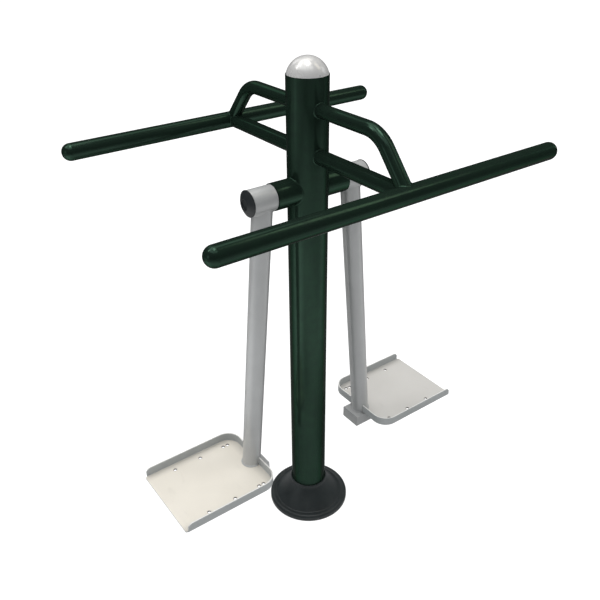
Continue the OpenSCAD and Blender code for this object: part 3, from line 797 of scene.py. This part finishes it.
        finish_mesh(side + "_tray_sheet", bm, "tray_paint", side + "_pendulum", (side + "_foot_tray",), sharp=45)


upper_tube()
lower_tube_welds()
dome()
cover()
for s, side in ((-1, "left"), (1, "right")):
    body = side + "_pendulum"
    hub(s, side, body)
    arm_welds(s, side, body)
trays()


# ================================================================ camera, floor, light
def camera():
    az, el, roll = (math.radians(v) for v in (-35.80, 30.69, -0.53))
    back = Vector((math.sin(az) * math.cos(el), -math.cos(az) * math.cos(el), math.sin(el)))
    right = Vector((math.cos(az), math.sin(az), 0))
    up = back.cross(right)
    r2 = right * math.cos(roll) + up * math.sin(roll)
    u2 = up * math.cos(roll) - right * math.sin(roll)
    data = bpy.data.cameras.new("camera")
    data.sensor_width = 36
    data.lens = 701.0 / 600 * 36
    data.clip_start, data.clip_end = 0.05, 200
    cam = bpy.data.objects.new("camera", data)
    bpy.context.scene.collection.objects.link(cam)
    m = Matrix.Identity(4)
    for i in range(3):
        m[i][0], m[i][1], m[i][2] = r2[i], u2[i], back[i]
    m.translation = Vector((-1.0781, -1.4538, 1.8739))
    cam.matrix_world = m
    bpy.context.scene.camera = cam


def area(name, direction, dist, size, power, colour, aim=(0, 0, 1.2), spread=None):
    data = bpy.data.lights.new(name, "AREA")
    data.shape = "DISK"
    data.size = size
    data.energy = power
    data.color = colour
    ob = bpy.data.objects.new(name, data)
    bpy.context.scene.collection.objects.link(ob)
    d = Vector(direction).normalized()
    ob.location = Vector(aim) + d * dist
    ob.rotation_mode = "QUATERNION"
    ob.rotation_quaternion = d.to_track_quat("Z", "Y")
    ob.visible_camera = False
    return ob


def aim_at(az, el):
    """Direction of a light, with azimuth 0 on the -Y side and 90 on the +X side."""
    a, e = math.radians(az), math.radians(el)
    return math.sin(a) * math.cos(e), -math.cos(a) * math.cos(e), math.sin(e)


def studio():
    sc = bpy.context.scene
    sc.view_settings.view_transform = "Standard"
    sc.view_settings.look = "None"
    bm = bmesh.new()
    bmesh.ops.create_circle(bm, cap_ends=True, radius=60, segments=96)
    me = bpy.data.meshes.new("studio_floor")
    bm.to_mesh(me)
    bm.free()
    floor = bpy.data.objects.new("studio_floor", me)
    sc.collection.objects.link(floor)
    floor.location.z = -0.0004
    m = bpy.data.materials.new("studio_floor")
    m.use_nodes = True
    nt = m.node_tree
    nt.nodes.clear()
    new = nt.nodes.new

    def glow(albedo, strength):
        add, dif, emi = new("ShaderNodeAddShader"), new("ShaderNodeBsdfDiffuse"), new("ShaderNodeEmission")
        dif.inputs["Color"].default_value = (albedo, albedo, albedo, 1)
        emi.inputs["Strength"].default_value = strength
        nt.links.new(dif.outputs[0], add.inputs[0])
        nt.links.new(emi.outputs[0], add.inputs[1])
        return add.outputs[0]

    # the camera sees a white sweep; the glow that comes off it is strong in front and at the two sides
    co, sep = new("ShaderNodeTexCoord"), new("ShaderNodeSeparateXYZ")
    nt.links.new(co.outputs["Object"], sep.inputs[0])

    def ramp(v, a, b, c, d):
        n = new("ShaderNodeMapRange")
        n.interpolation_type = "SMOOTHSTEP"
        for k, x in zip(("From Min", "From Max", "To Min", "To Max"), (a, b, c, d)):
            n.inputs[k].default_value = x
        nt.links.new(v, n.inputs["Value"])
        return n.outputs["Result"]

    def calc(op, a, b=0.0):
        n = new("ShaderNodeMath")
        n.operation = op
        for s, v in zip(n.inputs, (a, b)):
            if isinstance(v, float):
                s.default_value = v
            else:
                nt.links.new(v, s)
        return n.outputs[0]

    def pool(cx, cy, wide, deep, lo, hi, level):
        """Light on the floor in a soft oval round (cx, cy)."""
        u = calc("DIVIDE", calc("SUBTRACT", sep.outputs[0], cx), wide)
        v = calc("DIVIDE", calc("SUBTRACT", sep.outputs[1], cy), deep)
        r = calc("SQRT", calc("ADD", calc("MULTIPLY", u, u), calc("MULTIPLY", v, v)))
        return ramp(r, lo, hi, level, 0.0)

    front = calc("MULTIPLY", ramp(sep.outputs[1], -0.95, -0.45, 0.41, 0.0), ramp(sep.outputs[1], -3.8, -2.8, 0.28, 1.0))
    front = calc("MULTIPLY", front, ramp(calc("ABSOLUTE", sep.outputs[0]), 2.6, 3.8, 1.0, 0.28))
    left = pool(-1.75, 0.20, 1.3, 1.0, 0.5, 1.25, 0.90)
    right = pool(1.60, -0.70, 1.0, 1.0, 0.4, 1.30, 0.40)
    level = calc("ADD", calc("ADD", front, left), right)
    for spot in ((-0.15, -0.25, 1.0, 1.0, 0.15, 0.50, 0.28), (-5.0, 1.5, 3.0, 3.2, 0.5, 1.1, 0.28), (-5.6, 1.15, 2.4, 0.9, 0.3, 1.0, 0.40)):
        level = calc("ADD", level, pool(*spot))
    add, dif, emi = new("ShaderNodeAddShader"), new("ShaderNodeBsdfDiffuse"), new("ShaderNodeEmission")
    reach = pool(-0.6, 0.1, 1.0, 1.0, 1.3, 2.6, 1.0)
    nt.links.new(ramp(reach, 0.0, 1.0, 0.10, 0.40), dif.inputs["Color"])
    nt.links.new(level, emi.inputs["Strength"])
    nt.links.new(dif.outputs[0], add.inputs[0])
    nt.links.new(emi.outputs[0], add.inputs[1])
    path = new("ShaderNodeLightPath")
    both = new("ShaderNodeMixShader")
    nt.links.new(path.outputs["Is Camera Ray"], both.inputs[0])
    nt.links.new(add.outputs[0], both.inputs[1])
    nt.links.new(glow(0.34, 0.86), both.inputs[2])
    out = new("ShaderNodeOutputMaterial")
    nt.links.new(both.outputs[0], out.inputs[0])
    me.materials.append(m)

    w = bpy.data.worlds.new("studio")
    sc.world = w
    w.use_nodes = True
    nt = w.node_tree
    nt.nodes.clear()
    out = nt.nodes.new("ShaderNodeOutputWorld")
    new = nt.nodes.new
    path = new("ShaderNodeLightPath")
    see = new("ShaderNodeBackground")
    see.inputs["Color"].default_value = (1, 1, 1, 1)
    co = new("ShaderNodeTexCoord")
    sep = new("ShaderNodeSeparateXYZ")
    nt.links.new(co.outputs["Generated"], sep.inputs[0])

    def sky(stops):
        back, ramp = new("ShaderNodeBackground"), new("ShaderNodeValToRGB")
        cr = ramp.color_ramp
        for i, (place, tone) in enumerate(stops):
            e = cr.elements[i] if i < 2 else cr.elements.new(place)
            e.position = place
            e.color = (*tone, 1)
        nt.links.new(sep.outputs[2], ramp.inputs[0])
        nt.links.new(ramp.outputs[0], back.inputs["Color"])
        return back.outputs[0]

    soft = sky([(0.0, (0.271, 0.283, 0.295)), (1.0, (0.763, 0.775, 0.788)), (0.35, (0.443, 0.455, 0.468))])
    mirror = sky([(0.0, (0.024, 0.025, 0.026)), (1.0, (0.045, 0.045, 0.044)), (0.35, (0.022, 0.023, 0.024))])
    a, b = new("ShaderNodeMixShader"), new("ShaderNodeMixShader")
    nt.links.new(path.outputs["Is Glossy Ray"], a.inputs[0])
    nt.links.new(soft, a.inputs[1])
    nt.links.new(mirror, a.inputs[2])
    nt.links.new(path.outputs["Is Camera Ray"], b.inputs[0])
    nt.links.new(a.outputs[0], b.inputs[1])
    nt.links.new(see.outputs[0], b.inputs[2])
    nt.links.new(b.outputs[0], out.inputs[0])

    # soft boxes all round, 9 m off: azimuth, elevation, width, power, colour
    for az, el, size, power, colour in (
            (0, 88, 3.6, 149, (1.0, 0.985, 0.96)), (150, 78, 2.4, 43, (1.0, 0.97, 0.92)), (-135, 62, 3.6, 76, (1.0, 0.99, 0.97)),
            (-125, 48, 2.0, 50, (1.0, 0.98, 0.95)), (-90, 62, 3.6, 42, (0.97, 0.99, 1.0)), (-180, 62, 3.6, 57, (1.0, 0.99, 0.97)),
            (-180, 35, 3.6, 32, (1.0, 1.0, 1.0)), (135, 62, 3.6, 34, (1.0, 0.97, 0.92)), (75, 22, 3.0, 25, (0.97, 0.99, 1.0)),
            (-90, 10, 3.6, 19, (0.96, 0.985, 1.0)), (0, 62, 3.6, 28, (1.0, 1.0, 1.0)), (-45, 62, 3.6, 31, (0.98, 1.0, 1.0)),
            (60, 35, 3.6, 18, (1.0, 0.99, 0.97)), (30, 10, 3.6, 15, (0.98, 1.0, 1.0))):
        box = area("box_%d_%d" % (az, el), aim_at(az, el), 9.0, size, power, colour)
        box.visible_glossy = (az, el) not in ((30, 10), (60, 35))
    # a long warm panel that leans over the right side
    lo, hi = Vector(aim_at(54, 37)), Vector(aim_at(78, 64))
    mid = (lo + hi).normalized()
    panel = area("panel_right", mid, 9.0, 1.5, 41, (1.0, 0.92, 0.74))
    panel.data.shape = "RECTANGLE"
    panel.data.size, panel.data.size_y = 1.5, 4.8
    along = ((hi - lo) - mid * (hi - lo).dot(mid)).normalized()
    side = along.cross(mid)
    panel.rotation_quaternion = Matrix((side, along, mid)).transposed().to_quaternion()


camera()
studio()
